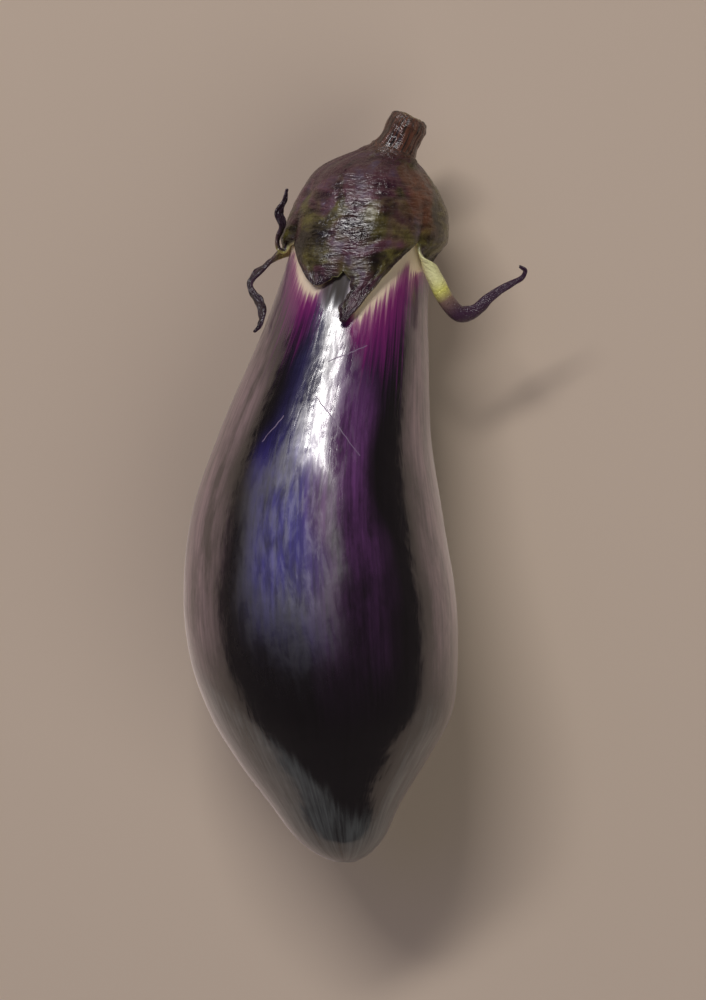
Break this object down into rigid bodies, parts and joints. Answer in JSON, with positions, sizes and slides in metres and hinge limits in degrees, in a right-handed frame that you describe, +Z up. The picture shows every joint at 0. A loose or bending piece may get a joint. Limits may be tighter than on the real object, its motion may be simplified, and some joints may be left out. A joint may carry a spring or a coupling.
{
  "type": "eggplant",
  "caption": "Long glossy eggplant lying on its side, with a fleshy calyx that runs out into pointed, curling dry lobes, and a short cut stem.",
  "frame": {"origin": "on the resting surface, under the middle of the whole eggplant's bounding box", "axes": "+Y along the fruit towards the stem, +Z up from the resting surface, +X to the side where the longest dried lobe curls away"},
  "size_m": [0.0916, 0.2004, 0.0709],
  "materials": {
    "skin": "smooth waxy skin, nearly black purple, glossy",
    "calyx": "dull, finely wrinkled, olive brown drying to purple brown at the tips",
    "stem": "dull ridged bark with a rough cut end"
  },
  "bodies": {
    "root": {"fruit": "skin", "calyx": "calyx", "stem": "stem"}
  },
  "joints": []
}
